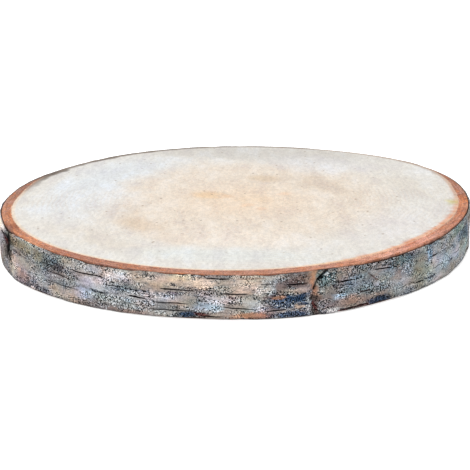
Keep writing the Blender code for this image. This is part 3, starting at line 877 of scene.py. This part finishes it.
outerBark = {
    "columns": 1440,
    "wallRows": 50,
    "strips": 6,
    "crestDrop": 0.55,
    "innerWall": 3.6,
    "slitDepth": 0.38,
    "slitLip": 0.1,
    "slitHeight": 0.34,
    "farPatches": 130,
    # where the broken edge shows its pale paper: direction, strength, spread
    "paleCrests": ((-149.5, 1.0, 2.2), (-146, 1.2, 2.6), (-141.5, 1.2, 2.6), (-137.5, 0.9, 2), (-44, 1.0, 3), (-31, 0.9, 2)),
    "farSeed": 81,
    # the slits: direction, height, length, rise from left to right, darkness
    "slits": (
        (-131.0, 14.8, 20, -1.5, 0.65), (-130.8, 9.6, 27, -0.8, 0.5), (-123.7, 19.9, 25, -0.7, 0.95),
        (-116.3, 16.0, 12, 0.2, 0.7), (-111.4, 11.2, 11, -0.8, 1.0), (-102.7, 17.7, 20, -0.3, 0.9),
        (-103.8, 9.5, 20, 0.1, 0.85), (-104.0, 5.2, 26, 0.2, 0.75), (-94.0, 25.1, 13, -0.3, 1.0),
        (-90.8, 15.9, 16, -0.8, 0.9), (-89.8, 7.3, 19, -1.6, 0.8), (-95.5, 2.2, 14, -0.2, 0.9),
        (-77.4, 20.3, 13, -0.5, 1.0), (-81.7, 5.4, 12, 0.3, 0.9), (-65.8, 18.4, 12, 0.8, 1.0),
        (-60.7, 10.2, 8, 0.0, 0.7), (-63.5, 2.0, 20, 0.8, 0.8), (-55.6, 21.1, 14, -0.8, 1.0),
        (-43.0, 5.8, 10, 0.3, 0.85), (-36.4, 17.9, 9, -0.2, 0.9), (-35.0, 10.3, 14, 0.0, 0.55),
        (-23.0, 11.6, 15, 0.0, 0.6),
    ),
    # patches of one shade: direction, height, half width in degrees, half height, shade,
    # strength, lichen specks
    "patches": (
        (-150, 14, 12, 14, "ash", 0.5, 0.2),
        (-28, 13, 17, 20, "mist", 0.75, 0.2),
        (-166, 5, 10, 6, "taupe", 0.9, 0.2),
        (-157, 7, 4, 8, "grey", 0.9, 0.3),
        (-150, 23, 7, 4, "olive", 0.9, 0.3),
        (-148, 18, 5, 2, "taupe", 0.7, 0.3),
        (-147, 13, 5, 2.6, "tan", 0.8, 0.3),
        (-149.5, 9, 2.4, 4, "straw", 0.65, 0.1),
        (-144, 6, 3, 3, "brown", 0.5, 0.1),
        (-143.5, 2.6, 3, 1.8, "mauve", 0.8, 0.3),
        (-138.5, 22, 2.6, 4, "olive", 0.7, 0.3),
        (-134.5, 19.5, 3.4, 5, "slate", 0.85, 0.35),
        (-132, 19.3, 1.3, 1.8, "charcoal", 0.8, 0.2),
        (-131, 12.8, 5, 2.2, "stone", 0.8, 0.9),
        (-137.5, 9, 3, 3, "ash", 0.6, 0.4),
        (-140.5, 3, 2.5, 3, "slate", 0.6, 0.4),
        (-130.5, 5, 4.4, 4, "tan", 0.75, 0.0),
        (-137, 2.5, 2.4, 2, "charcoal", 0.85, 0.6),
        (-127.5, 23.5, 3, 3, "ash", 0.7, 0.2),
        (-123, 24, 2.6, 2.6, "ash", 0.8, 0.5),
        (-122, 15.5, 3.8, 4, "rose", 0.9, 0.0),
        (-124, 7.8, 2.8, 4, "blueWhite", 0.6, 0.1),
        (-115.5, 23, 2.6, 2.6, "silver", 0.8, 0.2),
        (-110.5, 23, 3, 3.4, "tan", 0.7, 0.4),
        (-112, 11, 7, 4, "lavender", 0.7, 0.5),
        (-115, 14.8, 3.4, 2, "blueGrey", 0.6, 0.6),
        (-111.5, 12, 2.5, 2, "ash", 0.6, 0.8),
        (-116, 4.8, 6, 4.4, "grey", 0.8, 1.0),
        (-113, 1.4, 5, 1.6, "brown", 0.6, 0.3),
        (-104, 23.5, 5.2, 4, "peach", 0.65, 0.0),
        (-101.5, 25, 2.6, 1.8, "straw", 0.8, 0.0),
        (-96.8, 22, 2.4, 2.4, "cream", 0.9, 0.0),
        (-105, 13.2, 3.4, 2.4, "lavender", 0.8, 0.1),
        (-106, 17.4, 5, 2.4, "tan", 0.7, 0.1),
        (-101, 12, 2.6, 3.6, "tan", 0.6, 0.2),
        (-108, 7.5, 2.5, 2.5, "stone", 0.7, 0.6),
        (-106, 3, 3, 2.4, "ash", 0.6, 0.8),
        (-100.3, 3, 2.2, 1.8, "navy", 0.95, 0.4),
        (-97.5, 3, 1.3, 1.5, "darkRed", 0.9, 0.1),
        (-95.5, 8.3, 2.6, 2.4, "iceBlue", 0.6, 0.3),
        (-94, 12.3, 3.4, 2.6, "lavender", 0.8, 0.1),
        (-91, 20.5, 3.5, 4, "tan", 0.8, 0.1),
        (-90.5, 17.2, 3, 2, "stone", 0.5, 0.1),
        (-87.3, 22, 3.2, 5.6, "peach", 0.8, 0.0),
        (-87.5, 12, 3, 3, "ash", 0.8, 0.2),
        (-86, 8.6, 2.6, 3, "rose", 0.7, 0.0),
        (-86.6, 2.3, 4.2, 2.2, "rust", 0.85, 0.0),
        (-84.2, 18, 1.8, 3, "silver", 0.7, 0.1),
        (-82.6, 22, 2.2, 5, "ash", 0.85, 1.0),
        (-80.8, 19, 1.1, 5, "brown", 0.85, 0.0),
        (-77.5, 22.5, 2.8, 4, "umber", 0.9, 0.5),
        (-77.5, 16.4, 2.6, 1.5, "tan", 0.8, 0.0),
        (-79, 9.5, 5.2, 4.4, "denim", 0.9, 0.8),
        (-77, 12, 2.8, 2, "navy", 0.9, 0.3),
        (-81.3, 13.1, 1.2, 1.0, "rust", 0.9, 0.0),
        (-76.5, 7.4, 1.2, 1.3, "peach", 0.9, 0.0),
        (-78.6, 2.3, 4.0, 1.9, "denim", 0.95, 0.4),
        (-74.6, 7.5, 0.7, 4.5, "ash", 0.7, 1.0),
        (-70.2, 21, 2.4, 5.5, "teal", 0.9, 0.9),
        (-66.4, 25.8, 1.6, 1.6, "brown", 0.8, 0.1),
        (-66, 22, 2.2, 2.6, "taupe", 0.7, 0.2),
        (-62, 15.5, 4.2, 6, "blueGrey", 0.8, 0.3),
        (-70, 12.5, 2.2, 4, "taupe", 0.8, 0.2),
        (-67.5, 9.6, 1.6, 1.6, "iceBlue", 0.6, 0.6),
        (-64, 6.3, 4.6, 2.8, "brown", 0.75, 0.1),
        (-56, 7.5, 3.2, 3, "taupe", 0.8, 0.1),
        (-57.5, 11, 4, 3.5, "teal", 0.5, 0.4),
        (-57.3, 12.7, 1.0, 1.4, "blueWhite", 0.4, 0.4),
        (-56.5, 2.6, 3.4, 2.4, "navy", 0.95, 0.1),
        (-70.5, 3.5, 2, 3, "mauve", 0.6, 0.3),
        (-69.2, 2.2, 1.3, 1.5, "silver", 0.7, 1.0),
        (-56, 18, 3, 4, "ash", 0.6, 0.2),
        (-54.5, 17, 3, 3.5, "blueGrey", 0.6, 0.3),
        (-48.2, 23, 5, 3, "teal", 0.9, 0.5),
        (-45.8, 24.7, 1.4, 0.9, "charcoal", 0.9, 0.1),
        (-46.5, 16, 3.2, 4, "blueGrey", 0.8, 1.0),
        (-50.5, 8, 3, 4, "ash", 0.6, 0.2),
        (-43, 12, 3.2, 12, "olive", 0.55, 0.2),
        (-38.2, 20, 1.0, 4.5, "steel", 0.9, 0.6),
        (-35, 14.3, 3.4, 2.2, "lavender", 0.8, 0.1),
        (-34.7, 3.5, 2.8, 1.7, "rose", 0.7, 0.1),
        (-30, 20.5, 4.5, 4.5, "grey", 0.7, 0.2),
        (-27, 3.2, 7, 3.5, "taupe", 0.7, 0.1),
        (-22.3, 12.5, 3.4, 2.6, "lavender", 0.75, 0.0),
        (-17, 19.5, 5, 4.5, "teal", 0.85, 0.1),
        (-13, 16, 2, 3, "slate", 0.7, 0.1),
        (-21, 24, 5, 2.4, "moss", 0.8, 0.1),
        (-163, 25.4, 6.4, 3.6, "paper", 1.0, 0.0),
        (-156.0, 17.6, 4.2, 6.6, "black", 1.0, 0.0),
        (-159.0, 17.0, 2.4, 1.8, "garnet", 1.0, 0.0),
        (-158.2, 18.0, 1.4, 0.9, "darkRed", 0.8, 0.0),
    ),
    # strokes of one shade: (direction, height) points, half width, shade, strength
    "strokes": (
        # the first stroke is painted shade in the crevice where the bark has broken away from the ring above the knot
        (((-156.4, 28), (-155.2, 26.2), (-154, 22)), 1.3, "black", 1.0),
        (((-162, 20.8), (-157, 20.2)), 0.8, "black", 1.0),
        (((-153.2, 13), (-152.4, 10.5)), 1.2, "black", 0.9),
        (((-151.2, 10), (-151, 6), (-151.8, 1)), 0.6, "charcoal", 0.85),
        (((-150.5, 17.4), (-143.8, 17.2)), 0.5, "umber", 0.7),
        (((-151, 27), (-138, 26.2)), 0.6, "teal", 0.7),
        (((-117, 14.5), (-114.5, 14.4)), 0.4, "charcoal", 0.9),
        (((-114, 15.3), (-109, 15.1)), 0.35, "charcoal", 0.8),
        (((-122.4, 11), (-118.3, 10.8)), 0.4, "charcoal", 0.8),
        (((-124, 27), (-119, 26.5)), 0.8, "umber", 0.8),
        (((-104.6, 16.2), (-102.8, 15.2)), 0.7, "mauve", 0.9),
        (((-103.6, 20.6), (-102.8, 20.4)), 0.6, "charcoal", 0.8),
        (((-94.4, 25.2), (-93.6, 25.1)), 0.5, "silver", 0.9),
        (((-91.6, 13.8), (-90.6, 13.2)), 0.6, "mauve", 0.8),
        (((-90, 25.2), (-84.3, 24.9)), 0.4, "brown", 0.8),
        (((-85, 21.4), (-82.4, 21.2)), 0.4, "black", 0.85),
        (((-84.4, 13.2), (-82.4, 14.8)), 0.7, "mauve", 0.6),
        (((-90, 0.7), (-83.2, 0.7)), 0.5, "umber", 0.8),
        (((-77, 8.4), (-74.8, 8.2)), 0.5, "navy", 0.9),
        (((-73.6, 26.5), (-73.9, 21), (-73.1, 15.5), (-72.9, 11)), 2.3, "brown", 0.85),
        (((-73.4, 26.5), (-73.8, 21), (-73.2, 15.5), (-72.9, 11)), 1.1, "rust", 0.75),
        (((-73.1, 10.5), (-73.0, 0.5)), 1.9, "umber", 0.95),
        (((-73.6, 8), (-72.6, 3)), 0.8, "darkRed", 0.9),
        (((-70.4, 27), (-72.2, 22), (-73.0, 19.5), (-73.4, 16)), 0.75, "black", 1.0),
        (((-73.8, 12), (-74.2, 10.2)), 0.6, "black", 0.8),
        (((-69, 17), (-68.2, 15.6)), 0.5, "charcoal", 0.9),
        (((-63.9, 27), (-55, 26.6)), 0.5, "black", 0.9),
        (((-60, 20.5), (-57.2, 15)), 0.5, "umber", 0.9),
        (((-62, 10.2), (-59.5, 10.2)), 0.4, "darkRed", 0.8),
        (((-67.7, 1.5), (-59.8, 2.2)), 0.6, "darkRed", 0.85),
        (((-44.5, 27), (-41, 26.8)), 0.5, "black", 0.9),
        (((-39.7, 26.4), (-30.5, 26.1)), 0.7, "black", 0.95),
        (((-39.6, 25), (-39.4, 20.5)), 0.5, "slate", 0.9),
        (((-41, 6), (-36.4, 5.6)), 0.5, "charcoal", 0.8),
        (((-28, 8.6), (-26, 8.5)), 0.5, "charcoal", 0.8),
        (((-139, 0.9), (-134.6, 0.5)), 0.6, "black", 0.9),
        (((-140.6, 2.0), (-138.6, 1.4)), 0.5, "silver", 0.9),
    ),
    "farShades": (
        "silver", "ash", "ash", "tan", "lavender", "stone", "grey", "taupe", "blueGrey", "olive",
        "slate", "mauve", "umber", "denim", "rust", "charcoal", "peach", "rose", "moss", "teal",
    ),
    "farAccents": ("denim", "rust", "charcoal", "umber"),
    "base": ("686768", "8C8885", "7A706A"),
    "brightness": 1.16,      # turns the shades above into those of the dry paper in the light
}


def patchShare(direction, height, at, middleHeight, halfTurn, halfHeight, ragged):
    out = (np.abs(turn(direction, at) / halfTurn) ** 3 + np.abs((height - middleHeight) / halfHeight) ** 3) ** (1 / 3)
    return softStep(1.5, 0.5, out + 0.6 * ragged)


def strokeShare(direction, height, points, halfWidth, wobble):
    nearest = np.full(np.shape(height), 1e6)
    for (startAt, startHeight), (endAt, endHeight) in zip(points, points[1:]):
        x, y = turn(direction, startAt) * mmPerDegree, height - startHeight
        lengthX, lengthY = (endAt - startAt) * mmPerDegree, endHeight - startHeight
        share = np.clip((x * lengthX + y * lengthY) / (lengthX**2 + lengthY**2), 0, 1)
        nearest = np.minimum(nearest, np.hypot(x - share * lengthX, y - share * lengthY))
    return softStep(1.6 * halfWidth, 0.6 * halfWidth, nearest + 0.7 * halfWidth * wobble)


def farPatches():
    values = outerBark
    farRng = Random(values["farSeed"])
    patches = []
    for _ in range(values["farPatches"]):
        shade = farRng.choice(values["farShades"])
        size = farRng.uniform(1.2, 3) if shade in values["farAccents"] else farRng.uniform(2, 6)
        patches.append((
            farRng.uniform(-8, 192), farRng.uniform(0, top), size, farRng.uniform(1.2, 5),
            shade, farRng.uniform(0.45, 0.85), farRng.choice((0, 0.1, 0.3, 0.9)),
        ))
    return patches


# Every shade, slit and plate at each point: the relief, the colour, the lichen and the dark flecks
def barkSurface(direction, height):
    values = outerBark
    shape = np.shape(direction + height)
    direction = np.broadcast_to(direction, shape)
    height = np.broadcast_to(height, shape)
    ragged = 0.4 * barkNoise(direction, height, 7, 2.4, 11) + 0.35 * barkNoise(direction, height, 2.6, 1.1, 12)
    ragged = ragged + 0.45 * barkNoise(direction, height, 1.2, 0.8, 18)
    wobble = barkNoise(direction, height, 3.5, 1.6, 13)
    broad = 0.6 * barkNoise(direction, height, 34, 9, 14) + 0.4 * barkNoise(direction, height, 13, 4, 15)
    dark, pale, warm = (np.array(linear(shade)) for shade in values["base"])
    colour = blend(dark, pale, softStep(-0.5, 0.5, broad)[..., None])
    drift = barkNoise(direction, height, 22, 6, 16)
    colour = blend(colour, warm, (0.6 * softStep(0.0, 0.6, drift))[..., None])
    lift = np.zeros(shape)
    specks = 0.25 + 0.2 * barkNoise(direction, height, 18, 6, 17)
    clumps = 0.5 + 0.3 * barkNoise(direction, height, 16, 5, 24)
    for at, middleHeight, halfTurn, halfHeight, shade, strength, lichen in farPatches() + list(values["patches"]):
        share = patchShare(direction, height, at, middleHeight, halfTurn, halfHeight, ragged)
        hexColour, stands, covered = barkShades[shade]
        colour = blend(colour, np.array(linear(hexColour)), (share * strength)[..., None])
        lift = blend(lift, stands, share)
        specks = blend(specks, lichen, share)
        clumps = blend(clumps, covered, share)
    for points, halfWidth, shade, strength in values["strokes"]:
        share = strokeShare(direction, height, points, halfWidth, wobble)
        hexColour, stands, covered = barkShades[shade]
        colour = blend(colour, np.array(linear(hexColour)), (share * strength)[..., None])
        lift = blend(lift, stands, share)
        specks = blend(specks, 0, share)
        clumps = blend(clumps, covered, share)
    # slits open between two low lips
    slitRng = Random(values["farSeed"] + 1)
    slits = list(values["slits"])
    slits += [(*row, slitRng.uniform(-1, 1), slitRng.uniform(0.75, 1)) for row in farSlits]
    relief = lift
    slitOffset, slitInk = np.full(shape, 2.0), np.zeros(shape)
    for at, middleHeight, length, rise, darkness in slits:
        along = turn(direction, at) * mmPerDegree / (length / 2)
        share = np.clip(1 - along**2, 0, 1)
        across = height - middleHeight - rise / 2 * along + 0.25 * wobble
        opening = values["slitHeight"] * (0.6 + 0.4 * share)
        groove = np.exp(-((across / opening) ** 2)) * np.sqrt(share)
        relief = relief - values["slitDepth"] * groove * darkness
        relief = relief + values["slitLip"] * np.exp(-(((np.abs(across) - 1.05) / 0.45) ** 2)) * share
        ink = (0.4 + 0.6 * darkness) * softStep(0, 0.25, share) * softStep(1.6, 0.9, np.abs(across))
        thickness = (0.35 + 0.65 * share) * (0.5 + 0.7 * darkness)
        slitOffset = np.where(ink > slitInk, across / thickness, slitOffset)
        slitInk = np.maximum(slitInk, ink)
        specks = specks * (1 - groove)
        clumps = clumps * (1 - 0.8 * darkness * share * softStep(2.0, 0.6, np.abs(across)))
    # paper streaks and pebbles all over
    streak = 0.6 * barkNoise(direction, height, 13, 1.7, 21) + 0.4 * barkNoise(direction, height, 6, 1.0, 22)
    pebble = barkNoise(direction, height, 2.0, 1.3, 23)
    relief = relief + 0.13 * streak + 0.09 * pebble
    colour = colour * values["brightness"] * (1 + 0.08 * streak + 0.08 * pebble)[..., None]
    relief = relief + plates(direction, height) + cracks(direction, height) + scars(direction, height)
    clumps = np.clip(clumps + 0.3 * barkNoise(direction, height, 6, 2.6, 25), 0, 1)
    return relief, np.clip(colour, 0.002, 1), np.clip(specks, 0, 1), clumps, slitOffset, slitInk


# 1 on the far side, where bark and face end level with each other
def flushness(direction):
    return softStep(72, 100, np.abs(turn(direction, -88)))


def makeOuterBark():
    values = outerBark
    direction = np.arange(values["columns"]) * 360 / values["columns"] - 180
    flush = flushness(direction)
    nibble = 0.5 + 0.5 * barkNoise(direction, np.zeros_like(direction), 2.4, 50, 31)
    bite = np.clip(barkNoise(direction, np.zeros_like(direction), 7, 50, 32), 0, 1)
    rim = top - trunk["rimDrop"] * (1 - 0.8 * flush) - swelling(direction, rimChips) * (1 - 0.5 * flush)
    rim = rim - (0.3 * nibble + 0.9 * bite) * (1 - 0.75 * flush)
    foot = trunk["rimDrop"] + swelling(direction, footChips) + 0.2 * nibble + 0.35 * bite[::-1]
    topRadius, footRadius = outline(direction, top), outline(direction, 0)
    paper, footPaper = topRadius - trunk["outerBark"], footRadius - trunk["outerBark"]
    pitch = (rim - foot - 1.0) / (values["wallRows"] - 1)
    wallHeight = rim - 0.5 - np.arange(values["wallRows"])[:, None] * pitch
    relief, wallColour, wallSpecks, wallFlecks, offset, ink = barkSurface(direction[None], wallHeight)
    # the relief runs out towards the two broken edges
    ease = np.minimum(np.arange(values["wallRows"]), np.arange(values["wallRows"])[::-1])[:, None]
    relief = relief * np.clip(0.45 + 0.2 * ease, 0, 1)
    wallRadius = outline(direction[None], wallHeight) + relief
    crest = topRadius - values["crestDrop"] + 0.2 * cracks(direction, rim) - 0.25 * nibble
    footCrest = footRadius - values["crestDrop"] + cracks(direction, foot)
    deepTop, deepFoot = topRadius - values["innerWall"], footRadius - values["innerWall"]
    upperRows = [(crest, rim), (blend(crest, wallRadius[0], 0.7), rim - 0.2)]
    lowerRows = [
        (blend(footCrest, wallRadius[-1], 0.7), foot + 0.2), (footCrest, foot), (footPaper + 0.2, foot + 0.1),
        (footPaper - 0.25, foot + 0.9), (deepFoot, foot + 3.5), (blend(deepFoot, deepTop, 0.5), top / 2 + 0 * rim),
        (deepTop, rim - 4), (paper - 0.25, rim - 1.0), (paper + 0.05, rim - 0.75), (paper + 0.35, rim - 0.5),
        (blend(paper + 0.35, crest, 0.6), rim - 0.12),
    ]
    radii = np.concatenate([[row[0] for row in upperRows], wallRadius, [row[0] for row in lowerRows]])
    heights = np.concatenate([[row[1] for row in upperRows], wallHeight, [row[1] for row in lowerRows]])
    rows = place(direction[None], radii, heights)
    shares = [0.6] * 2 + [1.0] * values["wallRows"] + [0.8] * 2 + [0.5] * 2 + [0.2] * 4 + [0.5] * 3
    made = makeTube("outer_bark", rows, shares, values["strips"], makeBarkMaterial())
    # broken paper shows brown at the two edges, and along the gaps to the ring the top edge is
    # painted near black as shade
    edgeBrownAndShade = np.array(linear("46352C"))
    gap = edgeGap(direction)
    first = blend(wallColour[0], edgeBrownAndShade, ((0.1 + 0.3 * nibble) * (1 - gap) + 0.9 * gap)[:, None])
    first = blend(first, np.array(linear("857A70")), (0.8 * flush)[:, None])
    paleCrest = softStep(0.3, 0.9, swelling(direction, values["paleCrests"]))
    first = blend(first, np.array(linear("E4D6C8")), (0.85 * paleCrest * (1 - 0.5 * gap))[:, None])
    # the foot edge and the underside are painted near black: brown broken paper with painted contact shade where the
    # bark sits on the floor
    footBrownAndShade = np.array(linear("221A18"))
    lastEdgeShaded = blend(wallColour[-1], footBrownAndShade, (0.7 + 0.3 * nibble)[:, None])
    # painted contact shade: the lowest 2 mm of the wall darken by up to half towards the floor
    wallColour = wallColour * (1 - 0.5 * softStep(2.2, 0.6, wallHeight))[..., None]
    wallColour[:3] = blend(wallColour[:3], np.array(linear("E4D6C8")), (0.3 * paleCrest * (1 - gap))[:, None])
    # the crevice between the bark's crest and the ring is painted near black as shade
    creviceShade = np.broadcast_to(np.array(linear("2E1E18")), first.shape)
    brown = np.broadcast_to(edgeBrownAndShade, first.shape)
    underEdgeShade = np.broadcast_to(footBrownAndShade, first.shape)
    colour = np.concatenate([
        [first, wallColour[0]], wallColour,
        [lastEdgeShaded, lastEdgeShaded, underEdgeShade, underEdgeShade, brown, brown, brown, creviceShade, creviceShade, creviceShade, first],
    ])
    extra = [0] * len(lowerRows)
    specks = np.concatenate([[wallSpecks[0] * 0.5] * 2, wallSpecks, [wallSpecks[0] * 0 for _ in extra]])
    flecks = np.concatenate([[wallFlecks[0]] * 2, wallFlecks, [wallFlecks[-1] * 0.4 for _ in extra]])
    addColours(made, "barkTint", colour.reshape(-1, 3))
    ink = np.concatenate([[0 * ink[0]] * 2, ink, [0 * ink[0] for _ in extra]])
    offset = np.concatenate([[0 * offset[0]] * 2, offset, [0 * offset[0] for _ in extra]])
    addColours(made, "barkMarks", np.stack([specks, flecks, ink], -1).reshape(-1, 3))
    addValues(made, "slitOffset", offset)
    return made


def makeInnerBark():
    values = innerRing
    direction = np.arange(values["columns"]) * 360 / values["columns"] - 180
    width = innerBarkWidth(direction)
    paper = outline(direction, top) - trunk["outerBark"]
    footPaper = outline(direction, 0) - trunk["outerBark"]
    wood, footWood = paper - width, footPaper - width
    flush = 0.85 * flushness(direction)
    rows, depths = [], []
    rows.append((wood - values["overlap"], top - 0.14 + 0 * wood))
    depths.append(0 * width)
    for index in range(values["acrossPoints"]):
        share = index / (values["acrossPoints"] - 1)
        bumpy = barkNoise(direction, np.full_like(direction, index * 1.7), 3.0, 1.6, 51)
        bumpy = 0.6 * bumpy + 0.4 * barkNoise(direction, np.full_like(direction, index * 1.7), 1.4, 1.2, 52)
        sink = 0.05 + trunk["settle"] * share * (1 - flush) + values["relief"] * (1 + bumpy) * min(share * 4, 1)
        rows.append((wood + width * share, top - sink))
        depths.append(width * share)
    # its outer side stays behind the bark's cracks and knots
    for share in np.linspace(0.96, 0.04, values["sidePoints"]):
        height = np.full_like(direction, share * top)
        behind = outline(direction, height) + np.minimum(cracks(direction, height) + scars(direction, height), 0)
        rows.append((np.minimum(blend(footPaper, paper, share), behind - 1.3), height))
        depths.append(width)
    for share in (1.0, 0.66, 0.33, 0.0):
        rows.append((footWood + width * share, 0.05 + trunk["settle"] * share + 0 * footWood))
        depths.append(width * share)
    for share in (0.01, 0.33, 0.66):
        rows.append((blend(footWood, wood, share) - values["overlap"], share * top + 0 * wood))
        depths.append(0 * width)
    radii, heights = np.array([row[0] for row in rows]), np.array([row[1] for row in rows])
    depths = np.array(depths)
    shares = [1.0] * (values["acrossPoints"] + 1) + [0.3] * values["sidePoints"] + [1.0] * 4 + [0.3] * 3
    made = makeTube("inner_bark", place(direction[None], radii, heights), shares, 4, makeInnerBarkMaterial())
    addValues(made, "layerDepth", depths)
    finish = innerFinish
    at = np.broadcast_to(direction, depths.shape)
    drift = barkNoise(at, depths, 11, 2.2, 53)
    patchy = barkNoise(at, depths * 2, 4, 1.6, 54)
    colour = np.broadcast_to(np.array(linear(finish["copper"])), (*depths.shape, 3))
    for toneAt, spread, shade, strength in values["tones"]:
        near = bell(turn(at, toneAt), spread) * strength
        colour = blend(colour, np.array(linear(shade)), near[..., None])
    orange, pink = (np.array(linear(finish[name])) for name in ("orange", "pink"))
    hue = 0.6 * barkNoise(at, depths, 6, 2.4, 55) + 0.5 * barkNoise(at, depths, 2.2, 1.2, 57)
    narrow = softStep(1.0, 5.0, np.broadcast_to(width, depths.shape))
    varied = 0.15 + 0.85 * narrow
    colour = blend(colour, orange, (0.75 * varied * softStep(0.1, 0.6, hue))[..., None])
    colour = blend(colour, pink, (0.65 * varied * softStep(0.1, 0.6, -hue))[..., None])
    colour = blend(colour, np.array(linear(finish["light"])), (0.5 * varied * softStep(0.1, 0.8, drift))[..., None])
    colour = blend(colour, np.array(linear(finish["deep"])), (0.65 * varied * softStep(0.0, 0.8, -patchy))[..., None])
    pale = softStep(0.9, 0.2, depths - 0.3 * drift)
    frontal = 1 - 0.85 * bell(turn(at, -108), 26)
    colour = blend(colour, np.array(linear(finish["paleLine"])), (0.8 * pale * narrow * frontal)[..., None])
    fromEdge = np.broadcast_to(width, depths.shape) - depths
    outer = softStep(0.7, 0.1, fromEdge + 0.5 * patchy) * edgeGap(at)
    row = np.arange(len(depths))
    onSide = ((row > values["acrossPoints"]) & (row <= values["acrossPoints"] + values["sidePoints"] + 1))[:, None]
    # painted shade: the ring's outer edge darkens along the gaps to the outer bark
    colour = blend(colour, np.array(linear(finish["gapShadeLine"])), (0.5 * outer)[..., None])
    # painted shade: the ring's side below about 2 mm from the top turns near black, as it lies in shade behind the
    # outer bark
    buriedShade = onSide * softStep(top - 1.0, top - 2.2, heights)
    colour = blend(colour, np.array(linear(finish["hidden"])), (0.95 * buriedShade)[..., None])
    addColours(made, "ringTint", colour.reshape(-1, 3))
    return made


makeWood()
print("wood made")
makeInnerBark()
print("inner bark made")
makeOuterBark()
print("outer bark made")

# ---- studio

# A lit sheet of white acrylic, as product photographers use: it stays white up to a faint
# contact shadow.
studio = {
    "floorSize": 12,         # metres
    "floorColour": "F4F4F4",
    "floorGlow": 0.55,
    "skyStrength": 0.9,
    "keyPower": 17,          # watts
    "keySize": 1.6,
    "keyPlace": (-1.1, -1.2, 1.9),
    "cameraPlace": (0.0, -0.9658, 0.2968),
    "cameraDown": 16.84,
    "cameraTurn": 0.09,
    "focalPixels": 1551,
    "framePixels": 470,
}


def makeStudio():
    values = studio
    half = values["floorSize"] / 2
    mesh = bpy.data.meshes.new("floor")
    mesh.from_pydata([(-half, -half, 0), (half, -half, 0), (half, half, 0), (-half, half, 0)], [], [(0, 1, 2, 3)])
    floor = bpy.data.objects.new("floor", mesh)
    scene.collection.objects.link(floor)
    material, tree, shader, _ = newMaterial("White acrylic sheet, lit")
    shader.inputs["Base Color"].default_value = (*linear(values["floorColour"]), 1)
    shader.inputs["Roughness"].default_value = 0.6
    shader.inputs["Specular IOR Level"].default_value = 0.1
    shader.inputs["Emission Color"].default_value = (1, 1, 1, 1)
    shader.inputs["Emission Strength"].default_value = values["floorGlow"]
    mesh.materials.append(material)

    world = bpy.data.worlds.new("studio")
    world.use_nodes = True
    background = world.node_tree.nodes["Background"]
    background.inputs["Color"].default_value = (1, 1, 1, 1)
    background.inputs["Strength"].default_value = values["skyStrength"]
    scene.world = world

    key = bpy.data.lights.new("key", "AREA")
    key.energy = values["keyPower"]
    key.size = values["keySize"]
    keyObject = bpy.data.objects.new("key", key)
    keyObject.location = values["keyPlace"]
    towards = -keyObject.location
    keyObject.rotation_euler = towards.to_track_quat("-Z", "Y").to_euler()
    scene.collection.objects.link(keyObject)

    camera = bpy.data.cameras.new("camera")
    camera.sensor_width = 36
    camera.lens = 36 * values["focalPixels"] / values["framePixels"]
    camera.clip_start = 0.01
    camera.clip_end = 50
    cameraObject = bpy.data.objects.new("camera", camera)
    cameraObject.location = values["cameraPlace"]
    cameraObject.rotation_euler = (radians(90 - values["cameraDown"]), 0, radians(values["cameraTurn"]))
    scene.collection.objects.link(cameraObject)
    scene.camera = cameraObject
    scene.view_settings.view_transform = "Standard"
    scene.view_settings.look = "None"


makeStudio()
print("studio made")
